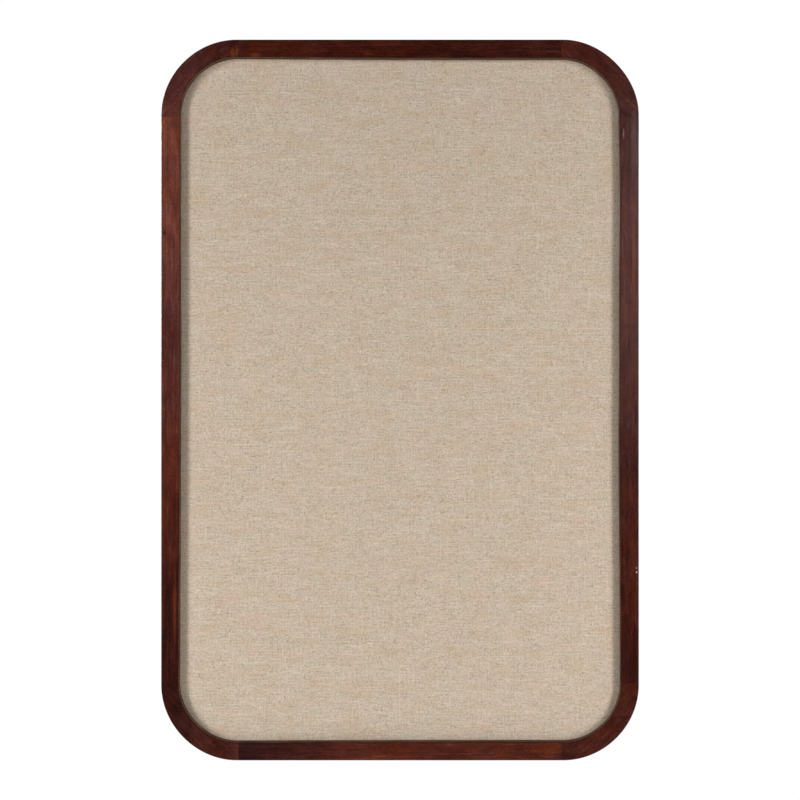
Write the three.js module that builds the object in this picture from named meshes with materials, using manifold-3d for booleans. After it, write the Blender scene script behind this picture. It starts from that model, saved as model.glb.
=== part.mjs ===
// A wall-hung pin board: a rounded wooden frame with a linen-covered panel held in its rebate.
// Millimetres, +Z up. The front faces -Y, and the origin is the middle of the overall box.
//
// The frame is eight pieces of wood: two rails, two stiles and four curved corner blocks, butted
// end to end with two dowels in each joint. All eight share one section, a front lip over a
// rebate. The panel drops into the rebate from behind: linen wrapped round a soft pin core, then
// a hardboard back held by flexible points pressed into the wood. Four small D-ring hangers let
// the board hang upright or on its side, and four bumpers keep them off the wall.

import * as THREE from 'three';
import { mergeVertices } from 'three/addons/utils/BufferGeometryUtils.js';
import Module from 'manifold-3d';

const wasm = await Module();
wasm.setup();

// Frame, seen from the front
const boardWidth = 505;
const boardHeight = 762;
const cornerRadius = 80;
const faceWidth = 19;
const cornerLand = 2; // straight stretch at each end of a corner block, past its curve

// Frame section, from front to back
const frameDepth = 25;
const lipThickness = 7;
const rebateWidth = 6;
const outerEase = 1.5;
const innerEase = 1;
const backEase = 1;

// Dowels: two in each joint, one behind the other
const dowelDiameter = 6;
const dowelLength = 30;
const dowelChamfer = 1;
const fluteDepth = 0.25;
const dowelClearance = 0.15;
const dowelEndGap = 1; // glue room past each end of a dowel
const dowelDepthShares = [0.3, 0.7]; // of the frame's depth

// Panel
const panelClearance = 1; // between the panel's edge and the rebate wall
const seatGap = 0.3; // between pieces that lie on each other
const linenThickness = 0.8;
const linenProud = 0.2; // the lip holds the linen's edge this much flatter than its middle
const linenLead = 1.5; // from the lip's edge to where the linen stands at its full height
const hemWidth = 22;
const boardThickness = 3;
const rebateSpare = 1.8; // empty depth behind the points

// Flexible points that hold the panel in
const pointThickness = 0.6;
const pointWidth = 8;
const pointReach = 9; // from the rebate wall over the back board
const pointDriven = 4; // from the rebate wall into the wood
const pointTip = 2.5; // length of the sharpened end
const pointClearance = 0.15;
const stilePointShares = [-0.68, 0, 0.68]; // of half the straight length
const railPointShares = [-0.78, 0.78];

// D-ring hangers
const hangerDrop = 150; // from the edge that hangs uppermost to the ring's axis
const hangerInset = 7; // from the frame's outer edge to the strap's middle
const strapWidth = 8;
const sheetThickness = 0.8; // the strap is this sheet, folded double
const kneeOffset = 5; // from the ring's axis to where the two layers meet
const screwOffset = 17; // from the ring's axis to the screw
const ringWire = 2; // diameter
const ringReach = 12; // from the ring's axis to the outside of its bow
const ringBend = 2; // bend between the bar and a leg, at the wire's middle
const ringSeam = 0.4; // open seam in the bar, inside the knuckle
const knuckleClearance = 0.25;
const ringSideClearance = 0.5;
const ringRestGap = 0.3; // between the hanging ring and the strap under it

// Hanger screws
const screwDiameter = 3;
const screwLength = 12;
const screwTip = 3;
const screwHeadDiameter = 6;
const screwHeadHeight = 1.8;
const screwHeadRim = 0.6;
const screwClearance = 0.2;
const pilotEndGap = 1;

// Bumpers
const bumperDiameter = 10;
const bumperThickness = 5.5;
const bumperRound = 1.2;

// A cut runs this far past the face it opens
const cutOverrun = 1;

// Worked out from the sizes above
const legWidth = faceWidth - rebateWidth;
const legMiddle = legWidth / 2;
const frontY = -(frameDepth + bumperThickness) / 2;
const backY = frontY + frameDepth;

const pocketWidth = boardWidth - 2 * legWidth;
const pocketHeight = boardHeight - 2 * legWidth;
const pocketRadius = cornerRadius - legWidth;
const panelWidth = pocketWidth - 2 * panelClearance;
const panelHeight = pocketHeight - 2 * panelClearance;
const panelRadius = pocketRadius - panelClearance;

const linenSeat = frontY + lipThickness + seatGap;
const linenFront = linenSeat - linenProud;
const coreFront = linenFront + linenThickness + seatGap;
const pointBack = backY - rebateSpare;
const pointFront = pointBack - pointThickness;
const boardBack = pointFront - seatGap;
const boardFront = boardBack - boardThickness;
const linenBack = boardFront - seatGap;
const coreBack = linenBack - linenThickness - seatGap;

const strapThickness = 2 * sheetThickness;
const pivotHeight = strapThickness + ringRestGap + ringWire / 2;
const knuckleRadius = ringWire / 2 + knuckleClearance + sheetThickness;
const strapTail = screwOffset + strapWidth / 2;

// Facets
const cornerSteps = 20;
const easeSteps = 3;
const roundSides = 20;
const fluteCount = 10;
const ringSides = 8;
const ringSteps = 28;
const strapSteps = 12;
const plateCornerSteps = 8;
const latheSides = 16;

const quarterTurn = Math.PI / 2;
const halfTurn = Math.PI;

// The four sides, clockwise from the top. A side is drawn as if it were the top one, with x along
// it and z outwards, and then turned. hangerEnd is the end that hangs uppermost: it is the upper
// end of a stile, and the left end of a rail, for a board that is hung on its side.
const sides = [
  { name: 'top', piece: 'rail_top', corner: 'top_right', span: boardWidth, reach: boardHeight / 2,
    hangerEnd: -1, pointShares: railPointShares },
  { name: 'right', piece: 'stile_right', corner: 'bottom_right', span: boardHeight,
    reach: boardWidth / 2, hangerEnd: -1, pointShares: stilePointShares },
  { name: 'bottom', piece: 'rail_bottom', corner: 'bottom_left', span: boardWidth,
    reach: boardHeight / 2, hangerEnd: 1, pointShares: railPointShares },
  { name: 'left', piece: 'stile_left', corner: 'top_left', span: boardHeight,
    reach: boardWidth / 2, hangerEnd: 1, pointShares: stilePointShares },
];

const finishes = {
  wood: { color: 0x4c2119, roughness: 0.42, metalness: 0 },
  beech: { color: 0xc9a06c, roughness: 0.7, metalness: 0 },
  linen: { color: 0xc2b29e, roughness: 0.95, metalness: 0 },
  softboard: { color: 0x9a7f5c, roughness: 0.95, metalness: 0 },
  hardboard: { color: 0x6b4a30, roughness: 0.75, metalness: 0 },
  zinc: { color: 0xb9bcc0, roughness: 0.35, metalness: 1 },
  brass: { color: 0xb08d4f, roughness: 0.3, metalness: 1 },
  rubber: { color: 0x2b2a29, roughness: 0.8, metalness: 0 },
};

// Solids

/** Turns a closed geometry into a solid that can be cut. */
function toSolid(geometry) {
  const bare = geometry.clone();
  bare.deleteAttribute('normal');
  bare.deleteAttribute('uv');
  const welded = mergeVertices(bare);
  const vertProperties = new Float32Array(welded.attributes.position.array);
  const triVerts = new Uint32Array(welded.index.array);
  return new wasm.Manifold(new wasm.Mesh({ numProp: 3, vertProperties, triVerts }));
}

/** Turns a solid back into a geometry. */
function toGeometry(solid) {
  const { vertProperties, triVerts } = solid.getMesh();
  const geometry = new THREE.BufferGeometry();
  geometry.setAttribute('position', new THREE.Float32BufferAttribute(vertProperties, 3));
  geometry.setIndex(Array.from(triVerts));
  return geometry;
}

/** Takes every cutter away from a geometry. */
function cut(geometry, cutters) {
  let solid = toSolid(geometry);
  for (const cutter of cutters) {
    solid = solid.subtract(toSolid(cutter));
  }
  return toGeometry(solid);
}

/** A closed skin over rings of points, all with the same count, with a flat cap at each end. */
function skin(rings, outline) {
  const count = outline.length;
  const positions = rings.flat().flatMap((point) => point.toArray());
  const indices = [];
  for (let ring = 0; ring < rings.length - 1; ring += 1) {
    for (let corner = 0; corner < count; corner += 1) {
      const here = ring * count + corner;
      const beside = ring * count + (corner + 1) % count;
      indices.push(here, beside, beside + count);
      indices.push(here, beside + count, here + count);
    }
  }
  const last = (rings.length - 1) * count;
  for (const [a, b, c] of THREE.ShapeUtils.triangulateShape(outline, [])) {
    indices.push(a, c, b);
    indices.push(last + a, last + b, last + c);
  }
  const geometry = new THREE.BufferGeometry();
  geometry.setAttribute('position', new THREE.Float32BufferAttribute(positions, 3));
  geometry.setIndex(indices);
  return geometry;
}

/** Points along an arc, both ends included. */
function arc(centreX, centreY, radius, from, to, steps) {
  return Array.from({ length: steps + 1 }, (_, step) => {
    const angle = from + (to - from) * step / steps;
    return new THREE.Vector2(centreX + radius * Math.cos(angle), centreY + radius * Math.sin(angle));
  });
}

/** The outline of a rectangle with rounded corners, anticlockwise. */
function roundedOutline(width, height, radius) {
  const right = width / 2 - radius;
  const top = height / 2 - radius;
  const corners = [[right, top], [-right, top], [-right, -top], [right, -top]];
  return corners.flatMap(([x, z], turns) => (
    arc(x, z, radius, turns * quarterTurn, (turns + 1) * quarterTurn, plateCornerSteps)));
}

/** A solid in the XZ plane through levels, each a depth and an outline, from back to front. */
function stackOutlines(levels) {
  const rings = levels.map(({ y, outline }) => (
    outline.map((point) => new THREE.Vector3(point.x, y, point.y))));
  return skin(rings, levels[0].outline);
}

/** A flat plate with rounded corners in the XZ plane, from one depth to another. */
function roundedPlate(width, height, radius, fromY, toY) {
  const outline = roundedOutline(width, height, radius);
  return stackOutlines([{ y: toY, outline }, { y: fromY, outline }]);
}

/** A cylinder along X, its middle at the given place. */
function rodAlongX(radius, length, x, y, z) {
  const rod = new THREE.CylinderGeometry(radius, radius, length, roundSides);
  rod.rotateZ(quarterTurn);
  rod.translate(x, y, z);
  return rod;
}

/** A cylinder along Y that ends at the given depth and goes forward from it. */
function rodInto(radius, length, x, y, z) {
  const rod = new THREE.CylinderGeometry(radius, radius, length, roundSides);
  rod.translate(x, y - length / 2, z);
  return rod;
}

// Wooden frame

/** The frame's section, anticlockwise: x is 0 at the outer edge, y is the depth from the face. */
function frameSection() {
  const outerEdge = arc(-outerEase, outerEase, outerEase, -quarterTurn, 0, easeSteps);
  const backEdge = arc(-backEase, frameDepth - backEase, backEase, 0, quarterTurn, easeSteps);
  const innerEdge = arc(
    innerEase - faceWidth, innerEase, innerEase, halfTurn, halfTurn + quarterTurn, easeSteps);
  const rebate = [
    new THREE.Vector2(-legWidth, frameDepth),
    new THREE.Vector2(-legWidth, lipThickness),
    new THREE.Vector2(-faceWidth, lipThickness),
  ];
  return [...outerEdge, ...backEdge, ...rebate, ...innerEdge];
}

/** Carries the frame's section through stations, each a point of the outer edge and the way out. */
function sweepFrame(stations) {
  const section = frameSection();
  const rings = stations.map(({ x, z, outX, outZ }) => section.map((point) => (
    new THREE.Vector3(x + outX * point.x, frontY + point.y, z + outZ * point.x))));
  return skin(rings, section);
}

/** Length of a side between its two corner blocks. */
function straightLength(side) {
  return side.span - 2 * (cornerRadius + cornerLand);
}

/** A rail or stile with its dowel holes, point slots and pilot hole. */
function makeRail(side) {
  const half = straightLength(side) / 2;
  const rail = sweepFrame([
    { x: half, z: side.reach, outX: 0, outZ: 1 },
    { x: -half, z: side.reach, outX: 0, outZ: 1 },
  ]);
  const cutters = [];
  const holeLength = dowelLength + 2 * dowelEndGap;
  for (const share of dowelDepthShares) {
    const depth = frontY + share * frameDepth;
    const radius = dowelDiameter / 2 + dowelClearance;
    cutters.push(rodAlongX(radius, holeLength, half, depth, side.reach - legMiddle));
    cutters.push(rodAlongX(radius, holeLength, -half, depth, side.reach - legMiddle));
  }
  const slotDepth = pointDriven + pointClearance;
  const slotHeight = pointThickness + 2 * pointClearance;
  for (const share of side.pointShares) {
    const slot = new THREE.BoxGeometry(
      pointWidth + 2 * pointClearance, slotHeight, slotDepth + cutOverrun);
    const middle = side.reach - legWidth + (slotDepth - cutOverrun) / 2;
    slot.translate(share * half, pointFront + pointThickness / 2, middle);
    cutters.push(slot);
  }
  const pilotLength = screwLength + pilotEndGap + cutOverrun;
  cutters.push(rodInto(screwDiameter / 2 + screwClearance, pilotLength,
    screwPlace(side), backY + cutOverrun, side.reach - hangerInset));
  return cut(rail, cutters);
}

/** A curved corner block about the middle of its arc, with the dowel holes in its two ends. */
function makeCorner() {
  const stations = [{ x: cornerRadius, z: -cornerLand, outX: 1, outZ: 0 }];
  for (let step = 0; step <= cornerSteps; step += 1) {
    const angle = quarterTurn * step / cornerSteps;
    const outX = Math.cos(angle);
    const outZ = Math.sin(angle);
    stations.push({ x: cornerRadius * outX, z: cornerRadius * outZ, outX, outZ });
  }
  stations.push({ x: -cornerLand, z: cornerRadius, outX: 0, outZ: 1 });
  const cutters = [];
  const holeLength = dowelLength + 2 * dowelEndGap;
  for (const share of dowelDepthShares) {
    const depth = frontY + share * frameDepth;
    const radius = dowelDiameter / 2 + dowelClearance;
    const intoTop = rodAlongX(radius, holeLength, -cornerLand, depth, cornerRadius - legMiddle);
    const intoSide = rodAlongX(radius, holeLength, cornerLand, depth, cornerRadius - legMiddle);
    intoSide.rotateY(quarterTurn);
    cutters.push(intoTop, intoSide);
  }
  return cut(sweepFrame(stations), cutters);
}

/** A fluted dowel along X with chamfered ends. */
function makeDowel() {
  const points = Array.from({ length: 2 * fluteCount }, (_, index) => {
    const angle = halfTurn * index / fluteCount;
    const radius = dowelDiameter / 2 - (index % 2) * fluteDepth;
    return new THREE.Vector2(radius * Math.cos(angle), radius * Math.sin(angle));
  });
  const half = dowelLength / 2;
  const endShare = 1 - 2 * dowelChamfer / dowelDiameter;
  const stations = [
    { x: -half, share: endShare },
    { x: dowelChamfer - half, share: 1 },
    { x: half - dowelChamfer, share: 1 },
    { x: half, share: endShare },
  ];
  const rings = stations.map(({ x, share }) => points.map((point) => (
    new THREE.Vector3(x, share * point.x, share * point.y))));
  return skin(rings, points);
}

// Panel

/** The outline of the opening inside the frame's lip, drawn in by an inset. */
function openingOutline(inset) {
  const around = faceWidth + inset;
  return roundedOutline(boardWidth - 2 * around, boardHeight - 2 * around, cornerRadius - around);
}

/**
 * The linen: a face, four sides and a hem turned round the core's edges onto its back. The face
 * stands forward a little where the frame's lip doesn't hold it down.
 */
function makeLinen() {
  const inset = linenThickness + seatGap;
  const panel = roundedOutline(panelWidth, panelHeight, panelRadius);
  const whole = stackOutlines([
    { y: linenBack, outline: panel },
    { y: linenSeat, outline: panel },
    { y: linenSeat, outline: openingOutline(0) },
    { y: linenFront, outline: openingOutline(linenLead) },
  ]);
  const inside = roundedPlate(
    panelWidth - 2 * inset, panelHeight - 2 * inset, panelRadius - inset,
    coreFront - seatGap, coreBack + seatGap);
  const window = roundedPlate(
    panelWidth - 2 * hemWidth, panelHeight - 2 * hemWidth, panelRadius - hemWidth,
    coreBack, linenBack + cutOverrun);
  return cut(whole, [inside, window]);
}

/** The soft board inside the linen, which takes the pins. */
function makeCore() {
  const inset = linenThickness + seatGap;
  return roundedPlate(
    panelWidth - 2 * inset, panelHeight - 2 * inset, panelRadius - inset, coreFront, coreBack);
}

/** A flexible point: a flat tab with a sharpened end, lying along z with its tip outwards. */
function makePoint() {
  const half = pointWidth / 2;
  const shape = new THREE.Shape([
    new THREE.Vector2(-half, -pointReach),
    new THREE.Vector2(half, -pointReach),
    new THREE.Vector2(half, pointDriven - pointTip),
    new THREE.Vector2(0, pointDriven),
    new THREE.Vector2(-half, pointDriven - pointTip),
  ]);
  const point = new THREE.ExtrudeGeometry(shape, { depth: pointThickness, bevelEnabled: false });
  point.rotateX(quarterTurn);
  point.translate(0, pointBack, 0);
  return point;
}

// D-ring hangers. A hanger is drawn upright on the frame's back: the ring's axis lies along x at
// z = 0, the strap runs down from it, and y is the height above the wood.

/** Angle, about the ring's axis, where a line from a point of the strap meets the knuckle. */
function tangentAngle(point, turn) {
  const away = Math.hypot(point.x, point.y - pivotHeight);
  const towards = Math.atan2(point.y - pivotHeight, point.x);
  return towards + turn * Math.acos(knuckleRadius / away);
}

/** Sheet metal folded double round the ring's bar, with a round tail and a screw hole. */
function makeStrap() {
  const lowKnee = new THREE.Vector2(-kneeOffset, 0);
  const highKnee = new THREE.Vector2(-kneeOffset, strapThickness);
  const side = new THREE.Shape([
    new THREE.Vector2(-strapTail, strapThickness),
    new THREE.Vector2(-strapTail, 0),
    lowKnee,
    ...arc(0, pivotHeight, knuckleRadius, tangentAngle(lowKnee, 1),
      tangentAngle(highKnee, -1) + 2 * halfTurn, strapSteps),
    highKnee,
  ]);
  side.holes.push(new THREE.Path(
    arc(0, pivotHeight, knuckleRadius - sheetThickness, 0, 2 * halfTurn, strapSteps).slice(1)));
  const folded = new THREE.ExtrudeGeometry(side, { depth: strapWidth, bevelEnabled: false });
  folded.translate(0, 0, -strapWidth / 2);
  folded.rotateY(-quarterTurn);

  const plan = new THREE.Shape([
    new THREE.Vector2(strapWidth / 2, knuckleRadius + cutOverrun),
    new THREE.Vector2(-strapWidth / 2, knuckleRadius + cutOverrun),
    ...arc(0, -screwOffset, strapWidth / 2, halfTurn, 2 * halfTurn, strapSteps),
  ]);
  const planHeight = pivotHeight + knuckleRadius + cutOverrun;
  const planDepth = planHeight + cutOverrun;
  const outline = new THREE.ExtrudeGeometry(plan, { depth: planDepth, bevelEnabled: false });
  outline.rotateX(quarterTurn);
  outline.translate(0, planHeight, 0);

  const hole = rodInto(screwDiameter / 2 + screwClearance, strapThickness + 2 * cutOverrun,
    0, strapThickness + cutOverrun, -screwOffset);
  return cut(toGeometry(toSolid(folded).intersect(toSolid(outline))), [hole]);
}

/** The wire's middle line round the D, from one side of the seam in the bar to the other. */
class RingLine extends THREE.Curve {
  constructor() {
    super();
    const halfWidth = (strapWidth + ringWire) / 2 + ringSideClearance;
    const bowMiddle = ringReach - ringWire / 2 - halfWidth;
    this.path = new THREE.Path();
    this.path.moveTo(ringSeam / 2, 0);
    this.path.lineTo(halfWidth - ringBend, 0);
    this.path.absarc(halfWidth - ringBend, ringBend, ringBend, -quarterTurn, 0);
    this.path.lineTo(halfWidth, bowMiddle);
    this.path.absarc(0, bowMiddle, halfWidth, 0, halfTurn);
    this.path.lineTo(-halfWidth, ringBend);
    this.path.absarc(ringBend - halfWidth, ringBend, ringBend, halfTurn, halfTurn + quarterTurn);
    this.path.lineTo(-ringSeam / 2, 0);
  }

  getPoint(share) {
    const point = this.path.getPoint(share);
    return new THREE.Vector3(point.x, pivotHeight, -point.y);
  }
}

/** A wire ring in the shape of a D, hanging down over its strap. */
function makeRing() {
  const wire = new THREE.Shape(
    arc(0, 0, ringWire / 2, 0, 2 * halfTurn, ringSides).slice(1));
  return new THREE.ExtrudeGeometry(wire, { extrudePath: new RingLine(), steps: ringSteps });
}

/** A small round-head wood screw, its head on the strap. */
function makeScrew() {
  const radius = screwDiameter / 2;
  const headRadius = screwHeadDiameter / 2;
  const crown = screwHeadHeight - screwHeadRim;
  const profile = [
    new THREE.Vector2(0, -screwLength),
    new THREE.Vector2(radius, screwTip - screwLength),
    new THREE.Vector2(radius, 0),
    new THREE.Vector2(headRadius, 0),
  ];
  for (let step = 0; step <= easeSteps; step += 1) {
    const angle = quarterTurn * step / easeSteps;
    profile.push(new THREE.Vector2(
      step < easeSteps ? headRadius * Math.cos(angle) : 0, screwHeadRim + crown * Math.sin(angle)));
  }
  const screw = new THREE.LatheGeometry(profile, latheSides);
  screw.translate(0, strapThickness, -screwOffset);
  return screw;
}

/** A round rubber bumper with a softened rim, standing on the frame's back. */
function makeBumper() {
  const radius = bumperDiameter / 2;
  const rim = arc(radius - bumperRound, bumperThickness - bumperRound, bumperRound,
    0, quarterTurn, easeSteps);
  const profile = [
    new THREE.Vector2(0, 0),
    new THREE.Vector2(radius, 0),
    ...rim,
    new THREE.Vector2(0, bumperThickness),
  ];
  return new THREE.LatheGeometry(profile, latheSides);
}

// Assembly

/** Where a side's hanger ring and its screw sit along the side. */
function ringPlace(side) {
  return side.hangerEnd * (side.span / 2 - hangerDrop);
}

function screwPlace(side) {
  return ringPlace(side) - side.hangerEnd * screwOffset;
}

/** A named sub-part in one of the finishes above. */
function makeMesh(name, geometry, finish) {
  const mesh = new THREE.Mesh(geometry, new THREE.MeshStandardMaterial(finishes[finish]));
  mesh.name = name;
  return mesh;
}

const cornerGeometry = makeCorner();
const dowelGeometry = makeDowel();
const pointGeometry = makePoint();
const strapGeometry = makeStrap();
const ringGeometry = makeRing();
const screwGeometry = makeScrew();
const bumperGeometry = makeBumper();

/** The corner block at a side's right end, and the bumper on its back. */
function placeCorner(side) {
  const corner = new THREE.Group();
  corner.position.set(side.span / 2 - cornerRadius, 0, side.reach - cornerRadius);
  corner.add(makeMesh(`corner_${side.corner}`, cornerGeometry, 'wood'));
  const bumper = makeMesh(`bumper_${side.corner}`, bumperGeometry, 'rubber');
  const out = (cornerRadius - legMiddle) * Math.SQRT1_2;
  bumper.position.set(out, backY, out);
  corner.add(bumper);
  return corner;
}

/** The dowels at a side's two ends. */
function placeDowels(side) {
  const half = straightLength(side) / 2;
  const dowels = [];
  for (const end of [-1, 1]) {
    for (const share of dowelDepthShares) {
      const dowel = makeMesh(`dowel_${side.name}_${dowels.length + 1}`, dowelGeometry, 'beech');
      dowel.position.set(end * half, frontY + share * frameDepth, side.reach - legMiddle);
      dowels.push(dowel);
    }
  }
  return dowels;
}

/** The points along a side. */
function placePoints(side) {
  const half = straightLength(side) / 2;
  return side.pointShares.map((share, index) => {
    const point = makeMesh(`panel_point_${side.name}_${index + 1}`, pointGeometry, 'zinc');
    point.position.set(share * half, 0, side.reach - legWidth);
    return point;
  });
}

/** A side's hanger, its ring towards the end that hangs uppermost. */
function placeHanger(side) {
  const hanger = new THREE.Group();
  hanger.position.set(ringPlace(side), backY, side.reach - hangerInset);
  hanger.rotation.y = side.hangerEnd * quarterTurn;
  hanger.add(makeMesh(`hanger_strap_${side.name}`, strapGeometry, 'brass'));
  hanger.add(makeMesh(`hanger_ring_${side.name}`, ringGeometry, 'brass'));
  hanger.add(makeMesh(`hanger_screw_${side.name}`, screwGeometry, 'brass'));
  return hanger;
}

const pinBoard = new THREE.Group();
sides.forEach((side, turns) => {
  const group = new THREE.Group();
  group.rotation.y = turns * quarterTurn;
  group.add(makeMesh(side.piece, makeRail(side), 'wood'));
  group.add(placeCorner(side), ...placeDowels(side), ...placePoints(side), placeHanger(side));
  pinBoard.add(group);
});
pinBoard.add(makeMesh('linen_cover', makeLinen(), 'linen'));
pinBoard.add(makeMesh('pin_core', makeCore(), 'softboard'));
pinBoard.add(makeMesh('back_board', roundedPlate(
  panelWidth, panelHeight, panelRadius, boardFront, boardBack), 'hardboard'));

export default pinBoard;
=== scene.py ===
# %% [markdown]
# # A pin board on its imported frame
#
# The board hangs on a wall: a rounded frame of stained wood with a linen panel set back in it.
# The frame of solids is fixed, and each cell below dresses one part of it: first the shape as a
# surface worked out with numpy, then the finish as a small set of nodes. All is in metres, x to
# the right, z up, and the face of the board looks towards -y.

# %% Load the frame
import bmesh
import bpy
import numpy as np
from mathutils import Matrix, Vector


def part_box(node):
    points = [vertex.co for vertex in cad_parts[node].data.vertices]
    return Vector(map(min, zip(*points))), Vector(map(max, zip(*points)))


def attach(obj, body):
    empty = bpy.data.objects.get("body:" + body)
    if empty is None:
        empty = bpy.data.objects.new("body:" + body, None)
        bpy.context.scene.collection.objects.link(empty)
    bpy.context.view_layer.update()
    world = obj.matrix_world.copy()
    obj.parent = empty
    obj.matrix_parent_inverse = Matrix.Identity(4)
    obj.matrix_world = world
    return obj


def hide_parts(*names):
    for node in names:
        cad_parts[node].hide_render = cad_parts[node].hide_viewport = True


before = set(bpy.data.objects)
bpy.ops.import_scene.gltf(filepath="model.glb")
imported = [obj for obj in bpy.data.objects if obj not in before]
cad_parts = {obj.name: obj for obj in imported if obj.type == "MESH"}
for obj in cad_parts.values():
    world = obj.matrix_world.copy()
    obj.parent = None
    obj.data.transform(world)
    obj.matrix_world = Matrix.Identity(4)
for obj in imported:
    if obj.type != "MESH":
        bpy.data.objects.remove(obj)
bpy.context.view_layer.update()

# %% [markdown]
# ## Sizes
#
# The places of the pieces are read from the frame, so that a new surface sits where its solid
# sits. Only what a box can't tell, such as an easing or a wall, has a value of its own.

# %% Sizes of the frame and panel
mm = 0.001
rail_low, rail_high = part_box("rail_top")
_, stile_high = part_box("stile_right")
linen_low, linen_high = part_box("linen_cover")
back_low, back_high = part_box("back_board")

half_width = stile_high.x
half_height = rail_high.z
front = rail_low.y
wood_back = rail_high.y
face_width = rail_high.z - rail_low.z
depth = wood_back - front
corner_land = 2 * mm
corner_radius = half_width - rail_high.x - corner_land
lip = 7 * mm
rebate = 6 * mm
leg = face_width - rebate
print("board", round(2 * half_width / mm), "x", round(2 * half_height / mm),
      "mm, corner radius", round(corner_radius / mm), "mm")

# %% [markdown]
# ## From numbers to a piece
#
# Most of the pieces are a closed outline carried along a path: a wood section round a corner, a
# wire round a bend, or the outline of a plate through its thickness. That makes a grid of points,
# one row for each ring. One helper joins the rows with quads, closes the two ends, welds what
# meets, such as the pole of a turned piece, and turns all faces outwards.

# %% Skin over rings of points
crisp_angle = np.radians(32)


def grid_faces(rows, columns):
    """Quads between neighbouring rings: point c of ring r, the next two round, and back."""
    row, column = np.meshgrid(np.arange(rows - 1), np.arange(columns), indexing="ij")
    here = row * columns + column
    beside = row * columns + (column + 1) % columns
    return np.stack((here, beside, beside + columns, here + columns), axis=-1).reshape(-1, 4)


def make_piece(name, rings, material, body, replaced, attributes=None):
    """A closed skin over rings[ring, point, xyz]; edges bent more than crisp_angle stay crisp."""
    rows, columns = rings.shape[:2]
    caps = [list(range(columns)), list(range((rows - 1) * columns, rows * columns))]
    mesh = bpy.data.meshes.new(name)
    mesh.from_pydata(rings.reshape(-1, 3).tolist(), [], grid_faces(rows, columns).tolist() + caps)
    for label, (kind, values) in (attributes or {}).items():
        layer = mesh.attributes.new(label, kind, "POINT")
        layer.data.foreach_set("value" if kind == "FLOAT" else "vector",
                               np.asarray(values, np.float32).ravel())
    shell = bmesh.new()
    shell.from_mesh(mesh)
    bmesh.ops.remove_doubles(shell, verts=shell.verts, dist=1e-7)
    bmesh.ops.recalc_face_normals(shell, faces=shell.faces)
    shell.to_mesh(mesh)
    shell.free()
    mesh.shade_smooth()
    mesh.set_sharp_from_angle(angle=crisp_angle)
    mesh.materials.append(material)
    piece = bpy.data.objects.new(name, mesh)
    bpy.context.scene.collection.objects.link(piece)
    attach(piece, body)
    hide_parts(*replaced)
    return piece


# %% Arcs, outlines and supports
def arc(centre, radius, start, end, steps):
    """centre + radius (cos a, sin a), with a going evenly from start to end, in quarter turns."""
    angle = np.linspace(start, end, steps + 1) * np.pi / 2
    return np.column_stack((centre[0] + radius * np.cos(angle), centre[1] + radius * np.sin(angle)))


def rounded_outline(half_w, half_h, radius, steps):
    """A rectangle with round corners, anticlockwise: four arcs, joined by their straight sides."""
    x, z = half_w - radius, half_h - radius
    corners = ((x, z), (-x, z), (-x, -z), (x, -z))
    return np.concatenate([arc(c, radius, turn, turn + 1, steps) for turn, c in enumerate(corners)])


def with_supports(outline, reach):
    """Adds a point a short reach from both ends of each long edge, so that flats look flat."""
    along = np.roll(outline, -1, axis=0) - outline
    length = np.linalg.norm(along, axis=1, keepdims=True)
    step = along / np.maximum(length, 1e-9) * reach
    points = np.stack((outline, outline + step, outline + along - step), axis=1)
    kept = np.column_stack((np.ones(len(outline), bool), length > 4 * reach, length > 4 * reach))
    return points[kept]


def shrunk(outline, by):
    """Moves each point of an anticlockwise outline inwards, square to its two neighbours."""
    along = np.roll(outline, -1, axis=0) - np.roll(outline, 1, axis=0)
    along /= np.linalg.norm(along, axis=1, keepdims=True)
    return outline + by * np.column_stack((-along[:, 1], along[:, 0]))


# %% [markdown]
# ## Colour and nodes
#
# Colours are written as on a paint card, in sRGB hex, and one function turns them into the linear
# numbers that the shader works with. Another adds a node with its settings and links, and the small
# ones after it name the few sums that the finishes are made of.

# %% Colour and node helpers
def paint(card):
    """Linear RGBA of a hex colour: c / 12.92 below 0.04, and ((c + 0.055) / 1.055) ** 2.4 above."""
    value = np.array([int(card[i:i + 2], 16) for i in (1, 3, 5)]) / 255
    linear = np.where(value <= 0.04045, value / 12.92, ((value + 0.055) / 1.055) ** 2.4)
    return (*linear.tolist(), 1.0)


def plug(tree, node, inputs):
    """Sets a node's inputs: a socket is linked, and anything else is written there."""
    for name, value in inputs.items():
        if isinstance(value, bpy.types.NodeSocket):
            tree.links.new(value, node.inputs[name])
        else:
            node.inputs[name].default_value = value


def add(tree, kind, inputs=None, stops=None, **settings):
    """Adds a node with its settings and inputs; stops are places on a colour ramp."""
    made = tree.nodes.new("ShaderNode" + kind)
    for name, value in settings.items():
        setattr(made, name, value)
    plug(tree, made, inputs or {})
    for place, card in stops or ():
        near = [e for e in made.color_ramp.elements if abs(e.position - place) < 1e-4]
        stop = near[0] if near else made.color_ramp.elements.new(place)
        stop.color = paint(card)
    return made


def noise(tree, place, size, detail, roughness=0.5):
    """Noise with clumps of a size in metres: Fac is one value, Color is three."""
    return add(tree, "TexNoise", {
        "Vector": place, "Scale": 1 / size, "Detail": detail, "Roughness": roughness}).outputs


def times_plus(tree, value, by, onto):
    """onto + by * value."""
    return add(tree, "Math", {0: value, 1: by, 2: onto}, operation="MULTIPLY_ADD").outputs[0]


def mapped(tree, value, start, full, low=0.0, high=1.0):
    """low up to start, high from full on, and straight between them."""
    return add(tree, "MapRange", {
        "Value": value, "From Min": start, "From Max": full,
        "To Min": low, "To Max": high}).outputs["Result"]


def weighed(tree, value, weight, onto):
    """onto + weight (value - 0.5): each layer lightens and darkens about the middle."""
    centred = add(tree, "Math", {0: value, 1: 0.5}, operation="SUBTRACT").outputs[0]
    return times_plus(tree, centred, weight, onto)


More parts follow.
